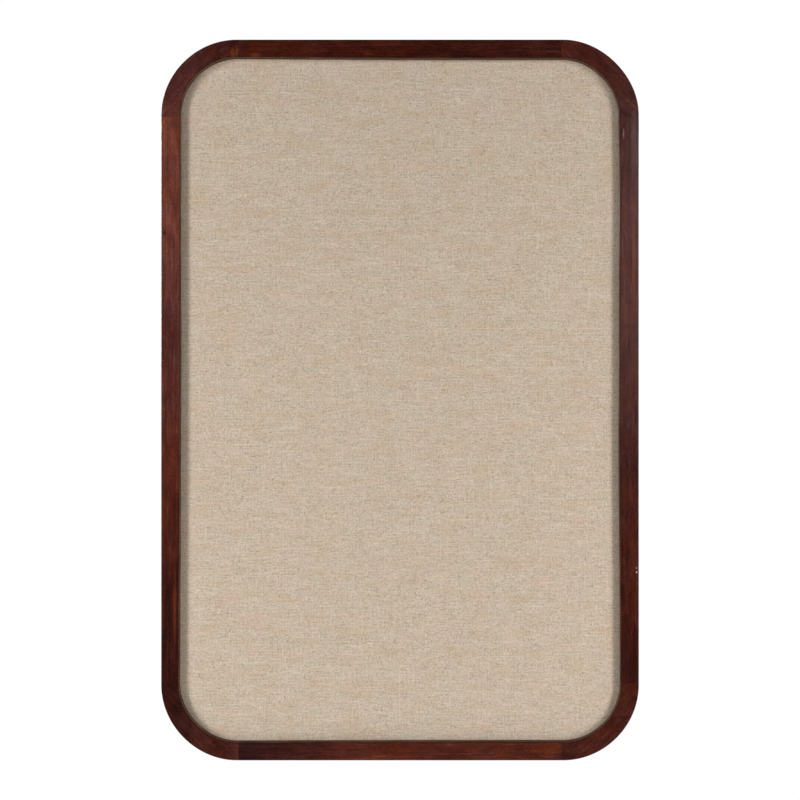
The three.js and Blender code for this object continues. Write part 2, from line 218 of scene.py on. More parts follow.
def shaken(tree, place, by, jitter):
    """place + by (jitter - 0.5), in each of the three directions."""
    centred = add(tree, "VectorMath", {0: jitter, 1: (0.5,) * 3}, operation="SUBTRACT")
    return add(tree, "VectorMath", {0: centred.outputs["Vector"], 1: (by,) * 3, 2: place},
               operation="MULTIPLY_ADD").outputs["Vector"]


def sines(tree, place, pitch):
    """sin(pi place / pitch) for X, Y and Z: two of them multiplied make a chessboard of humps."""
    turns = add(tree, "VectorMath", {0: place, 1: (np.pi / pitch,) * 3}, operation="MULTIPLY")
    waves = add(tree, "VectorMath", {0: turns.outputs["Vector"]}, operation="SINE")
    return add(tree, "SeparateXYZ", {"Vector": waves.outputs["Vector"]}).outputs


def covered(tree, share, under, over):
    """under + share (over - under), for colours."""
    return add(tree, "Mix", {"Factor": share, 6: under, 7: over}, data_type="RGBA").outputs[2]


def relief(tree, height, strength, distance):
    """A normal bent by a height, distance being its full depth in metres."""
    return add(tree, "Bump", {
        "Height": height, "Strength": strength, "Distance": distance}).outputs["Normal"]


def new_material(name):
    """A material with an empty tree, its shader and its output."""
    material = bpy.data.materials.new(name)
    material.use_nodes = True
    tree = material.node_tree
    tree.nodes.clear()
    shader = add(tree, "BsdfPrincipled")
    add(tree, "OutputMaterial", {"Surface": shader.outputs["BSDF"]})
    return material, tree, shader


# %% [markdown]
# ## Stained wood
#
# The frame is a fine-grained hardwood, rubbed with a red-brown mahogany stain and sprayed with a
# satin lacquer. The stain soaks in unevenly: soft blotches where the grain turns in and out of the
# surface, a few streaks, and a fine speckle of pores. Two ramps of the same darkness, one towards
# orange and one towards purple, share the surface, as the stain's two dyes do. Each piece carries
# three attributes: grain, a place whose first number runs along the fibres; tone, how lightly
# that place took the stain; and dye, how much of the orange it kept. The same nodes then serve
# all eight pieces, and no pattern runs on across a joint. The same function makes two more
# finishes. Stain and spray hardly reach the back, the rebate and the wall of the opening, which are
# dull and show mostly bare wood. The lip's eased arris is duller and painted darker, a painted
# shade along the edge of the opening.
#
# Most marks are what handling left: dark smudges, worn orange spots and a few pale chips. Two soft
# grey bands on the upper right stile are a painted sheen, a lamp's reflection painted into the
# colour. A mark is a place (x, z), its half width and half height in millimetres, its colour, and
# how much it covers.

# %% Stained wood under satin lacquer
mark_depth = 8 * mm
marks_and_painted_sheen = (
    ((-249.3, 176.5), (2.0, 3.2), "#240d09", 0.8),
    ((-243.5, -226.0), (2.4, 40.0), "#240e08", 0.75),
    ((-238.0, -222.0), (1.8, 44.0), "#74331a", 0.5),
    ((-176.6, 366.5), (2.6, 7.0), "#8a4a26", 0.38),
    ((-172.4, 367.5), (2.0, 8.0), "#8f4f2a", 0.34),
    ((-163.5, 371.0), (6.0, 10.0), "#2c1311", 0.55),
    ((-152.0, 364.5), (6.0, 3.0), "#74361b", 0.5),
    ((246.9, 146.0), (1.8, 55.0), "#854425", 0.4),
    # painted sheen: the next two grey bands are a lamp's reflection on the upper right stile,
    # painted into the colour
    ((247.6, 277.0), (4.5, 36.0), "#7c6769", 0.2),
    ((247.0, 228.0), (5.0, 80.0), "#6a5153", 0.15),
    ((236.2, 281.0), (0.8, 6.0), "#98837a", 0.6),
    ((234.6, 284.0), (1.1, 4.0), "#1c0f0d", 0.8),
    ((249.9, -182.0), (0.7, 1.1), "#e6e0da", 0.85),
    ((250.0, -177.5), (0.6, 1.3), "#b5a49b", 0.5),
    ((-158.0, -371.0), (11.0, 12.0), "#2b1413", 0.4),
    ((238.0, -18.0), (5.0, 24.0), "#2a1210", 0.45),
    ((241.5, -26.0), (2.2, 6.5), "#4b3a40", 0.35),
    ((239.5, -281.0), (8.0, 11.0), "#220e0b", 0.45),
    ((237.0, -335.5), (11.0, 3.4), "#260f0b", 0.5),
    ((191.0, -372.0), (10.0, 6.0), "#2a120b", 0.35),
    ((-238.0, -25.0), (5.0, 20.0), "#2c120c", 0.35),
    ((87.0, -366.0), (24.0, 5.0), "#301309", 0.35),
    ((-238.0, 292.0), (6.5, 9.0), "#43201a", 0.5),
    ((-235.5, 316.0), (5.0, 9.0), "#381b17", 0.35),
)


def make_stained_wood(name, satin, shine, bare, painted_shade):
    """Stain level = tone - painted shade + the weighed figure; bare = share of wood that took no
    stain.
    """
    material, tree, shader = new_material(name)
    grain = add(tree, "Attribute", attribute_name="grain").outputs["Vector"]
    tone = add(tree, "Attribute", attribute_name="tone").outputs["Fac"]
    dye = add(tree, "Attribute", attribute_name="dye").outputs["Fac"]

    def figure(length, width, detail, roughness=0.55, distortion=0.0):
        """Noise whose marks are so long along the grain and so wide across it, in millimetres."""
        scale = (1 / (length * mm), 1 / (width * mm), 1 / (width * mm))
        place = add(tree, "Mapping", {"Vector": grain, "Scale": scale})
        return add(tree, "TexNoise", {
            "Vector": place.outputs["Vector"], "Scale": 1.0, "Detail": detail,
            "Roughness": roughness, "Distortion": distortion}).outputs["Fac"]

    streak = figure(34, 2.6, 2.0, roughness=0.6, distortion=0.2)
    # painted shade: the tone is lowered by the last argument, set only for the lip's arris, to
    # paint shade there
    tone_less_shade = add(tree, "Math", {0: tone, 1: painted_shade}, operation="SUBTRACT").outputs[0]
    level = weighed(tree, figure(30, 11, 2.0, distortion=0.5), 0.52, tone_less_shade)
    level = weighed(tree, figure(95, 2.2, 1.0), 0.2, level)
    level = weighed(tree, streak, 0.28, level)
    level = weighed(tree, figure(6, 2.1, 1.0), 0.16, level)
    level = weighed(tree, figure(2.1, 1.3, 1.0), 0.32, level)
    turn = weighed(tree, figure(24, 9, 2.0, distortion=0.4), 1.2, dye)
    turn = weighed(tree, figure(12, 2.8, 1.0), 1.0, turn)
    warm = add(tree, "ValToRGB", {"Fac": level}, stops=(
        (0.0, "#1c0703"), (0.25, "#371107"), (0.5, "#54210f"), (0.75, "#70361e"), (1.0, "#8c4b2f")))
    cool = add(tree, "ValToRGB", {"Fac": level}, stops=(
        (0.0, "#1b0806"), (0.25, "#331410"), (0.5, "#4d2825"), (0.75, "#673c37"), (1.0, "#815149")))
    stain = covered(tree, turn, cool.outputs["Color"], warm.outputs["Color"])
    unstained = add(tree, "ValToRGB", {"Fac": figure(26, 1.6, 2.0, roughness=0.6)}, stops=(
        (0.3, "#3f2c21"), (0.5, "#5c4434"), (0.7, "#7a5d49")))
    stain = covered(tree, bare, stain, unstained.outputs["Color"])

    place = add(tree, "TexCoord").outputs["Object"]
    frayed = shaken(tree, place, 2.4 * mm, noise(tree, place, 5 * mm, 2.0)["Color"])
    # the marks are laid over the stain one by one, the grey bands of painted sheen among them
    for (x, z), (half_x, half_z), card, cover in marks_and_painted_sheen:
        near = add(tree, "Mapping", {
            "Vector": frayed, "Scale": (1 / (half_x * mm), 1 / mark_depth, 1 / (half_z * mm)),
            "Location": (-x / half_x, -front / mark_depth, -z / half_z)})
        away = add(tree, "VectorMath", {0: near.outputs["Vector"]}, operation="LENGTH")
        blend = mapped(tree, away.outputs["Value"], 1.1, 0.35, high=cover)
        stain = covered(tree, blend, stain, paint(card))

    open_grain = mapped(tree, figure(6, 0.6, 1.0), 0.3, 0.5)
    plug(tree, shader, {
        "Base Color": stain, "Roughness": mapped(tree, streak, 0.0, 1.0, *satin), "IOR": 1.45,
        "Specular IOR Level": shine, "Normal": relief(tree, open_grain, 0.02, 0.1 * mm)})
    return material


lacquered_wood = make_stained_wood(
    "mahogany_stain_satin_lacquer", satin=(0.22, 0.3), shine=0.42, bare=0.0, painted_shade=0.0)
dull_wood = make_stained_wood(
    "mahogany_stain_unpolished", satin=(0.6, 0.75), shine=0.15, bare=0.85, painted_shade=0.0)
# painted shade: the lip's eased arris is drawn 0.28 darker in tone, standing in for the shade where
# the lip turns into the opening
painted_shade_arris_wood = make_stained_wood(
    "mahogany_stain_painted_shade_on_arris", satin=(0.45, 0.55), shine=0.2, bare=0.0, painted_shade=0.28)
print("stained wood:", len(lacquered_wood.node_tree.nodes), "nodes")

# %% [markdown]
# ## The frame's eight pieces
#
# All eight pieces have one section: a lip over a rebate, with the edges that a hand touches eased
# by sandpaper. A modelling program would call it a sweep. Here it is one line of arithmetic: a
# point of the section moves out or in along the station's outward direction, and its depth stays.
# Each end is eased by a hair as well, so that two pieces meet in the fine line seen at each joint.

# %% The wood section
outer_ease = 0.9 * mm
inner_ease = 0.6 * mm
back_ease = 1.0 * mm
end_ease = 0.15 * mm
straight_stops = 17
corner_steps = 48


def wood_section():
    """Anticlockwise, x 0 at the outer edge and negative inwards, y the depth behind the face."""
    outline = np.concatenate((
        arc((-outer_ease, outer_ease), outer_ease, -1, 0, 7),
        arc((-back_ease, depth - back_ease), back_ease, 0, 1, 5),
        np.array([(-leg, depth), (-leg, lip), (-face_width, lip)]),
        arc((inner_ease - face_width, inner_ease), inner_ease, 2, 3, 6),
    ))
    return with_supports(outline, 0.4 * mm)


section = wood_section()
outer_points = section[:, 0] > -leg / 2
lip_points = section[:, 0] < -(leg + face_width) / 2
print("wood section:", len(section), "points")


# %% Carry the section along its stations
def sweep_wood(edge, out, worn, wider):
    """Ring s, point p = (edge_s + out_s * (section_p.x - moved_sp), front + section_p.y).

    moved = worn for the outer side, worn + wider for the lip's edge and 0 for the rebate. The
    section is smaller at both ends.
    """
    size = np.zeros((len(edge), 1))
    size[[0, -1]] = end_ease
    profile = section[None] + size[:, :, None] * (shrunk(section, 1.0) - section)[None]
    moved = worn[:, None] * outer_points + (worn + wider)[:, None] * lip_points
    flat = edge[:, None] + out[:, None] * (profile[:, :, :1] - moved[:, :, None])
    return np.stack((flat[..., 0], front + profile[..., 1], flat[..., 1]), axis=-1)


def straight_stations(half, reach, turns):
    """Stations of the top rail, from one joint to the other, turned clockwise by quarter turns."""
    body = np.linspace(half - end_ease, end_ease - half, straight_stops)
    along = np.concatenate(([half], body, [-half]))
    edge = np.column_stack((along, np.full(len(along), reach)))
    out = np.tile((0.0, 1.0), (len(along), 1))
    return turned(edge, turns), turned(out, turns), np.zeros(len(along))


def corner_stations(centre_x, centre_z, sanded, turns):
    """Top right corner: a land, a quarter circle, a land. worn = sanded * (2 sin a cos a)^2."""
    circle = arc((0, 0), 1.0, 0, 1, corner_steps)
    land = np.array((corner_land, corner_land - end_ease))[:, None]
    edge = np.concatenate((
        (corner_radius, 0) - land * (0, 1), corner_radius * circle,
        (0, corner_radius) - land[::-1] * (1, 0)))
    out = np.concatenate((circle[[0, 0]], circle, circle[[-1, -1]]))
    worn = sanded * (2 * out[:, 0] * out[:, 1]) ** 2
    return turned(edge + (centre_x, centre_z), turns), turned(out, turns), worn


def turned(points, turns):
    """Clockwise quarter turns, as seen from the front: (x, z) goes to (z, -x)."""
    for _ in range(turns):
        points = np.column_stack((points[:, 1], -points[:, 0]))
    return points


# %% [markdown]
# ## Grain and tone
#
# A rail's fibres run along x and a stile's along z. A corner block is sawn from a straight plank,
# so its fibres run straight too, at 45 degrees, and the figure on it is broader, as the curve cuts
# through it at a slant. How the stain took is told for each piece at even steps going clockwise, as
# two numbers: how lightly, and how much of the orange it kept. The stiles are light at the top and
# dark at the bottom, and the bottom rail has a dark purple end. The corners were sanded by hand
# after gluing, each a little flatter in its middle than a true circle. The lip's inner edge was
# sanded by hand too, and wanders: a table gives, clockwise, how far it reaches in past its size.

# %% How each piece took the stain
stain_steps = {
    "rail_top": ((0.36, 0.8), (0.31, 0.8), (0.34, 0.85), (0.26, 0.7), (0.29, 0.5), (0.28, 0.5)),
    "corner_top_right": ((0.40, 0.7), (0.42, 0.4), (0.33, 0.1)),
    "stile_right": (
        (0.37, 0.0), (0.51, 0.45), (0.44, 0.45), (0.33, 0.4), (0.32, 0.8), (0.25, 0.75)),
    "corner_bottom_right": ((0.36, 0.85), (0.34, 0.6), (0.35, 0.6)),
    "rail_bottom": ((0.43, 0.8), (0.51, 0.8), (0.44, 0.85), (0.53, 0.85), (0.28, 0.5), (0.17, 0.1)),
    "corner_bottom_left": ((0.42, 0.55), (0.31, 0.6), (0.18, 0.3), (0.15, 0.7)),
    "stile_left": ((0.19, 0.7), (0.29, 0.95), (0.52, 0.85), (0.49, 0.1), (0.72, 0.6), (0.74, 0.6)),
    "corner_top_left": ((0.60, 0.5), (0.48, 0.0), (0.43, 0.2), (0.37, 0.8)),
}
sanded_back = {
    "corner_top_right": 1.5, "corner_bottom_right": 0.3,
    "corner_bottom_left": 0.6, "corner_top_left": 0.4}
lip_wider = {
    "rail_top": (-0.6, 0.0, 0.4, 0.4, 0.4),
    "corner_top_right": (0.4, 0.4, 1.2),
    "stile_right": (1.3, -0.1, 0.9, 0.8, 1.4, 1.0, 0.2, 0.1),
    "corner_bottom_right": (0.1, -0.1, 0.3),
    "rail_bottom": (0.3, 0.3, 0.2, -0.2),
    "corner_bottom_left": (-0.2, -0.3, -0.7),
    "stile_left": (-0.7, -0.2, 0.4, 0.7, 0.5, 0.6),
    "corner_top_left": (0.6, -0.3, -0.6),
}

# %% Make the eight pieces
wood_finishes = (lacquered_wood, dull_wood, painted_shade_arris_wood)
hair = 0.1 * mm
inwards, deep = ((section + np.roll(section, -1, axis=0)) / 2).T
inside_wall = (inwards < hair - face_width) & (deep > inner_ease)
behind = (inwards < -0.5 * leg) & (deep > lip - hair)
# the lip's arris takes finish 2, painted darker as shade
lip_arris = (inwards < inner_ease - face_width) & (deep < inner_ease)
section_finish = np.select((inside_wall | behind, lip_arris), (1, 2), 0)
straight_figure = (1.0, 1.0)
corner_figure = (1.3, 0.6)
jump = (0.37, 0.11)


def make_wood(name, stations, fibres, finer, index):
    """Grain = place along and across the fibres, plus a jump that differs for each piece.

    Tone, dye and the lip's width run straight between their steps.
    """
    edge, out, worn = stations
    travelled = np.cumsum(np.linalg.norm(np.diff(edge, axis=0, prepend=edge[:1]), axis=1))
    ahead = travelled / travelled[-1]

    def stepped(values):
        """A value for each station, straight between evenly spaced steps given clockwise."""
        return np.interp(ahead, np.linspace(0, 1, len(values)), values[::-1])

    rings = sweep_wood(edge, out, worn, stepped(lip_wider[name]) * mm)
    place = rings.reshape(-1, 3)
    run = place[:, 0] * fibres[0] + place[:, 2] * fibres[1]
    across = place[:, 2] * fibres[0] - place[:, 0] * fibres[1]
    grain = np.column_stack((
        run * finer[0] + jump[0] * index, across * finer[1] + jump[1] * index, place[:, 1]))
    tone, dye = (np.repeat(stepped(values), len(section)) for values in zip(*stain_steps[name]))
    piece = make_piece(name + "_wood", rings, wood_finishes[0], "board", (name,), {
        "grain": ("FLOAT_VECTOR", grain), "tone": ("FLOAT", tone), "dye": ("FLOAT", dye)})
    for finish in wood_finishes[1:]:
        piece.data.materials.append(finish)
    which = np.concatenate((np.tile(section_finish, len(edge) - 1), (0, 0))).astype(np.int32)
    piece.data.polygons.foreach_set("material_index", which)
    return piece


wood_sides = (
    ("rail_top", "corner_top_right", rail_high.x, half_height),
    ("stile_right", "corner_bottom_right", stile_high.z, half_width),
    ("rail_bottom", "corner_bottom_left", rail_high.x, half_height),
    ("stile_left", "corner_top_left", stile_high.z, half_width),
)
wood = []
for turns, (straight, corner, half, reach) in enumerate(wood_sides):
    fibres = turned(np.array([(1.0, 0.0)]), turns)[0]
    slant = turned(np.array([(1.0, -1.0)]), turns)[0] / np.sqrt(2)
    stations = straight_stations(half, reach, turns)
    wood.append(make_wood(straight, stations, fibres, straight_figure, turns))
    stations = corner_stations(
        half + corner_land, reach - corner_radius, sanded_back[corner] * mm, turns)
    wood.append(make_wood(corner, stations, slant, corner_figure, turns + 4))
print("wood:", len(wood), "pieces,", sum(len(w.data.polygons) for w in wood), "faces")

# %% [markdown]
# ## Linen
#
# Natural linen in plain weave. Each thread goes over one and under the next, so the cloth is a
# chessboard of small humps, level threads on one colour and upright threads on the other. Flax yarn
# is uneven: it thickens and thins, some threads are lighter than their neighbours, a few thick
# slubs run far, golden or brown bits of stalk are spun in, and some yarn is a little greener or
# pinker than the rest. A photograph from a step away shows little of the chessboard: it shows short
# level dashes one thread high, a weaker upright set, and soft mottling. Each layer below is a
# pattern and its weight. The pattern reads the piece's own UV map, the flat cloth in metres, so
# the threads turn over the panel's edge with the cloth. The real threads lie about 0.8 mm apart,
# under one pixel of the picture, and are drawn twice as coarse so that they show.

# %% Linen cloth
thread_pitch = 1.6 * mm


def make_linen_cloth():
    """Level = 0.47 + the weighed layers; a ramp colours it, and what is spun in is laid over."""
    material, tree, shader = new_material("natural_linen_plain_weave")
    cloth = add(tree, "UVMap", uv_map="cloth").outputs["UV"]

    def yarns(wide, high, shift, detail=0.0):
        """Noise with marks so wide along the weft and so high across it, in millimetres."""
        place = add(tree, "Mapping", {
            "Vector": cloth, "Scale": (1 / (wide * mm), 1 / (high * mm), 1.0),
            "Location": (shift, shift, shift)})
        return noise(tree, place.outputs["Vector"], 1.0, detail)["Fac"]

    wavy = shaken(tree, cloth, 1.6 * mm, noise(tree, cloth, 5 * mm, 1.0)["Color"])
    wave = sines(tree, wavy, thread_pitch)
    warp = add(tree, "Math", {0: wave["X"]}, operation="ABSOLUTE").outputs[0]
    weft = add(tree, "Math", {0: wave["Y"]}, operation="ABSOLUTE").outputs[0]
    crossing = add(tree, "Math", {0: wave["X"], 1: wave["Y"]}, operation="MULTIPLY")
    above = mapped(tree, crossing.outputs[0], -0.25, 0.25)
    weave = add(tree, "Mix", {"Factor": above, 2: warp, 3: weft}).outputs[0]

    layers = (
        (weave, 0.16),
        (yarns(1.9, 1.6, 3.1), 0.35),
        (yarns(8.0, 1.6, 7.7), 0.17),
        (yarns(1.4, 6.0, 11.3), 0.13),
        (yarns(160.0, 1.7, 17.9), 0.045),
        (yarns(1.6, 190.0, 23.3), 0.012),
        (yarns(26.0, 9.0, 29.1, detail=2.0), 0.11),
    )
    level = 0.47
    for value, weight in layers:
        level = weighed(tree, value, weight, level)
    colour = add(tree, "ValToRGB", {"Fac": level}, stops=(
        (0.0, "#7a6957"), (0.3, "#a69481"), (0.5, "#c5b5a3"), (0.7, "#dbcdba"), (1.0, "#ede0cc"))
    ).outputs["Color"]
    patch = yarns(34.0, 12.0, 53.9, detail=2.0)
    straw = times_plus(tree, yarns(5.0, 2.0, 41.3, detail=1.0), 0.45, patch)
    spun_in = (
        (straw, 0.68, 0.95, 0.28, "#c2a074"),
        (yarns(3.0, 1.4, 61.7), 0.68, 0.8, 0.5, "#8a7257"),
        (yarns(17.0, 12.0, 97.1, detail=1.0), 0.52, 0.78, 0.19, "#b5ba9c"),
        (yarns(18.0, 12.0, 103.7, detail=1.0), 0.52, 0.78, 0.19, "#d9aea6"),
        (yarns(46.0, 1.2, 71.1), 0.67, 0.8, 0.26, "#e6d9c9"),
        (yarns(1.2, 34.0, 83.3), 0.68, 0.8, 0.18, "#e6d9c9"),
    )
    for value, starts, full, cover, card in spun_in:
        share = mapped(tree, value, starts, full, high=cover)
        colour = covered(tree, share, colour, paint(card))
    plug(tree, shader, {
        "Base Color": colour, "Normal": relief(tree, level, 0.3, 0.35 * mm), "Roughness": 0.92,
        "Specular IOR Level": 0.2, "Sheen Weight": 0.08, "Sheen Roughness": 0.5})
    return material


linen_cloth = make_linen_cloth()
print("linen:", len(linen_cloth.node_tree.nodes), "nodes")

# %% [markdown]
# ## The linen on its panel
#
# The cloth is one piece, laid over the soft core, pulled round its edges and turned in on the
# back as a hem. Its profile, from the middle outwards, is the raised field inside the lip, the
# margin that the lip holds flat, a soft turn round the edge, the side, a second turn and the hem.
# The thickness comes from the same profile, followed again on the inside, on the way back.

# %% The linen's rings
cloth_thickness = 0.8 * mm
cloth_turn = 1.6 * mm
hem = 22 * mm
field_margin = 1.2 * mm
field_lead = 1.5 * mm
field_rise = 0.2 * mm
panel_half_w, panel_half_h = linen_high.x, linen_high.z
pocket_gap = 1 * mm
panel_radius = corner_radius - leg - pocket_gap
panel_steps = 24
opening_inset = panel_half_w - (half_width - face_width)


def cloth_profile():
    """Rows of (inset from the panel's edge, depth): the outside, and the inside on the way back."""
    rise = np.linspace(0, 1, 6)
    lead = np.column_stack((
        opening_inset + field_margin + field_lead * (1 - rise),
        linen_low.y + field_rise * (3 * rise ** 2 - 2 * rise ** 3)))
    turn_front = arc((cloth_turn, linen_low.y + field_rise + cloth_turn), cloth_turn, -1, -2, 6)
    turn_back = arc((cloth_turn, linen_high.y - cloth_turn), cloth_turn, 2, 1, 6)
    outside = np.concatenate((lead, turn_front, turn_back, [(hem, linen_high.y)]))
    small = cloth_turn - cloth_thickness
    inner_front = arc((cloth_turn, linen_low.y + field_rise + cloth_turn), small, -1, -2, 4)
    inner_back = arc((cloth_turn, linen_high.y - cloth_turn), small, 2, 1, 4)
    inner_lead = lead + (0, cloth_thickness)
    inside = np.concatenate((inner_lead, inner_front, inner_back,
                             [(hem, linen_high.y - cloth_thickness)]))
    return outside, inside[::-1]


def travelled_from_edge(profile, start):
    """Distance along the profile from its first row, less start: how far the cloth has gone."""
    steps = np.linalg.norm(np.diff(profile, axis=0, prepend=profile[:1]), axis=1)
    return np.cumsum(steps) - start


outside, inside = cloth_profile()
reach_outside = travelled_from_edge(outside, outside[0, 0])
reach_inside = travelled_from_edge(inside[::-1], outside[0, 0])[::-1]
profile = np.concatenate((outside, inside))
reach = np.concatenate((reach_outside, reach_inside))


def make_linen():
    """Ring = the rounded outline, drawn in by the inset; UV = the outline, let out by the reach."""
    outline = rounded_outline(panel_half_w, panel_half_h, panel_radius, panel_steps)
    outward = np.concatenate([arc((0, 0), 1.0, turn, turn + 1, panel_steps) for turn in range(4)])
    flat = outline[None] - profile[:, None, :1] * outward[None]
    depths = np.broadcast_to(profile[:, None, 1:2], (*flat.shape[:2], 1))
    rings = np.concatenate((flat[..., :1], depths, flat[..., 1:]), axis=-1)
    unrolled = (outline[None] + reach[:, None, None] * outward[None]).reshape(-1, 2)
    lifted = np.column_stack((unrolled, np.zeros(len(unrolled))))
    piece = make_piece("linen_sheet", rings, linen_cloth, "board", ("linen_cover",),
                       {"unrolled": ("FLOAT_VECTOR", lifted)})
    mesh = piece.data
    corner_vertex = np.zeros(len(mesh.loops), np.int32)
    mesh.loops.foreach_get("vertex_index", corner_vertex)
    values = np.zeros(len(mesh.vertices) * 3, np.float32)
    mesh.attributes["unrolled"].data.foreach_get("vector", values)
    cloth_map = mesh.uv_layers.new(name="cloth")
    cloth_map.data.foreach_set("uv", values.reshape(-1, 3)[corner_vertex, :2].ravel())
    mesh.attributes.remove(mesh.attributes["unrolled"])
    return piece


linen = make_linen()

# %% [markdown]
# ## Boards behind the linen
#
# The pin core is soft fibreboard, a brown-grey felt of wood fibres, and keeps its solid. The back
# is hardboard with its rough side out: fine fibres pressed on a wire screen, which leaves a small
# net pattern. It is redrawn from the same outline, with finer corners and a broken arris. A real
# screen has a mesh of about 1.6 mm, too fine to show from a step away, and is drawn twice as
# coarse.

# %% Softboard and hardboard
def make_fibreboard(name, pale, dark, fleck, screen, roughness):
    """Pressed wood fibre: fleck is the size of a fibre clump and screen the wire spacing, in mm."""
    material, tree, shader = new_material(name)
    place = add(tree, "TexCoord").outputs["Object"]
    fine = noise(tree, place, fleck * mm, 4.0, 0.65)["Fac"]
    cloud = noise(tree, place, 90 * mm, 3.0)["Fac"]
    wave = sines(tree, place, screen * mm)
    net = add(tree, "Math", {0: wave["X"], 1: wave["Z"]}, operation="MULTIPLY").outputs[0]
    level = times_plus(tree, cloud, 0.1, 0.2)
    level = times_plus(tree, fine, 0.5, level)
    level = times_plus(tree, net, 0.08, level)
    tint = add(tree, "ValToRGB", {"Fac": level}, stops=(
        (0.0, dark), (0.35, dark), (0.65, pale), (1.0, pale)))
    height = times_plus(tree, net, 0.35, fine)
    plug(tree, shader, {
        "Base Color": tint.outputs["Color"], "Normal": relief(tree, height, 0.5, 0.3 * mm),
        "Roughness": roughness, "Specular IOR Level": 0.3})
    return material


softboard = make_fibreboard(
    "soft_fibreboard", "#a38a66", "#7c6548", fleck=1.2, screen=3.0, roughness=0.95)
hardboard = make_fibreboard(
    "hardboard_screen_side", "#9c7650", "#5f432b", fleck=1.4, screen=3.2, roughness=0.8)
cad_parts["pin_core"].data.materials.clear()
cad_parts["pin_core"].data.materials.append(softboard)


# %% The back board
def plate_rings(outline, low, high, break_size):
    """An outline through its thickness, drawn in by the arris at the front and at the back."""
    levels = (
        (low, break_size), (low + break_size, 0.0), (high - break_size, 0.0), (high, break_size))
    flats = [shrunk(outline, inset) if inset else outline for _, inset in levels]
    return np.stack([np.column_stack((flat[:, 0], np.full(len(flat), y), flat[:, 1]))
                     for flat, (y, _) in zip(flats, levels)])


back_outline = rounded_outline(back_high.x, back_high.z, panel_radius, panel_steps)
back_board = make_piece(
    "back_board_sheet", plate_rings(back_outline, back_low.y, back_high.y, 0.25 * mm), hardboard,
    "board", ("back_board",))
print("back board:", len(back_board.data.vertices), "points")

# %% [markdown]
# ## Beech dowels
#
# The dowels are fluted beech and stay inside the joints. Their solids are true already, so they
# only get their wood: pale pink-brown, with the short dark flecks that beech is known by.

# %% Beech
def make_beech():
    """Soft clouds of 9 mm under flecks of 0.9 mm."""
    material, tree, shader = new_material("beech_unfinished")
    place = add(tree, "TexCoord").outputs["Object"]
    body = add(tree, "ValToRGB", {"Fac": noise(tree, place, 9 * mm, 3.0)["Fac"]},
               stops=((0.0, "#b98a5c"), (0.5, "#c99d70"), (1.0, "#d8b48a")))
    dark = mapped(tree, noise(tree, place, 0.9 * mm, 1.0)["Fac"], 0.6, 0.72, high=0.5)
    flecked = covered(tree, dark, body.outputs["Color"], paint("#8f6440"))
    plug(tree, shader, {"Base Color": flecked, "Roughness": 0.7})
    return material


beech = make_beech()
dowels = [node for name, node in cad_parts.items() if name.startswith("dowel_")]
for dowel in dowels:
    dowel.data.materials.clear()
    dowel.data.materials.append(beech)
print("dowels:", len(dowels))

# %% [markdown]
# ## Metal and rubber
#
# The hangers are brass, bent from strip and lacquered: warm yellow, a little dull, with faint
# rolling lines. The points are thin steel strip, plated with zinc: cooler, with a cloudy spangle.
# The bumpers are black rubber, moulded, matt, with a bloom of grey dust. For a metal the base
# colour is the colour of its reflection, and the roughness says how blurred that is.

# %% Metal and rubber finishes
def make_metal(name, pale, dull, cloud, smooth, rough):
    """A cloudy metal: cloud is the size of a patch in mm, and pale patches are smoother."""
    material, tree, shader = new_material(name)
    place = add(tree, "TexCoord").outputs["Object"]
    patch = noise(tree, place, cloud * mm, 4.0, 0.6)["Fac"]
    tint = add(tree, "ValToRGB", {"Fac": patch}, stops=((0.3, dull), (0.62, pale)))
    scratch = noise(tree, place, 0.35 * mm, 2.0)["Fac"]
    plug(tree, shader, {
        "Base Color": tint.outputs["Color"], "Metallic": 1.0,
        "Roughness": mapped(tree, patch, 0.3, 0.7, rough, smooth),
        "Normal": relief(tree, scratch, 0.15, 0.05 * mm)})
    return material


def make_rubber():
    """Near black, with a grey bloom in clouds of 2.5 mm."""
    material, tree, shader = new_material("black_rubber_moulded")
    place = add(tree, "TexCoord").outputs["Object"]
    tint = add(tree, "ValToRGB", {"Fac": noise(tree, place, 2.5 * mm, 4.0)["Fac"]},
               stops=((0.35, "#1f1f1f"), (0.7, "#3b3a38")))
    plug(tree, shader, {"Base Color": tint.outputs["Color"], "Roughness": 0.7})
    return material


brass = make_metal(
    "brass_strip_lacquered", "#deb474", "#ad8049", cloud=3.0, smooth=0.26, rough=0.42)
steel = make_metal(
    "steel_strip_zinc_plated", "#b9bcc0", "#8f9499", cloud=2.0, smooth=0.42, rough=0.6)
rubber = make_rubber()
print("finishes:", brass.name, steel.name, rubber.name)

# %% [markdown]
# ## Flexible points
#
# Ten tabs of thin steel hold the panel in. The sharp end is pressed into the wood, and the end
# that a thumb bends up is round. Each is one outline through the thickness of the strip.

# %% The flexible points
point_names = sorted(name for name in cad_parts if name.startswith("panel_point_"))
point_tip = 2.5 * mm
thumb_radius = 3 * mm


def point_outline(low, high, out):
    """Anticlockwise: two round thumb corners, straight sides, and a tip half as long as wide."""
    centre = np.array(((low.x + high.x) / 2, (low.z + high.z) / 2))
    size = np.array((high.x - low.x, high.z - low.z))
    along = abs(out) @ size / 2
    wide = (1 - abs(out)) @ size / 2
    shape = np.concatenate((
        arc((wide - thumb_radius, thumb_radius - along), thumb_radius, -1, 0, 6),
        np.array([(wide, along - point_tip), (0, along), (-wide, along - point_tip)]),
        arc((thumb_radius - wide, thumb_radius - along), thumb_radius, 2, 3, 6)))
    side = np.array((out[1], -out[0]))
    return centre + shape[:, :1] * side + shape[:, 1:] * out


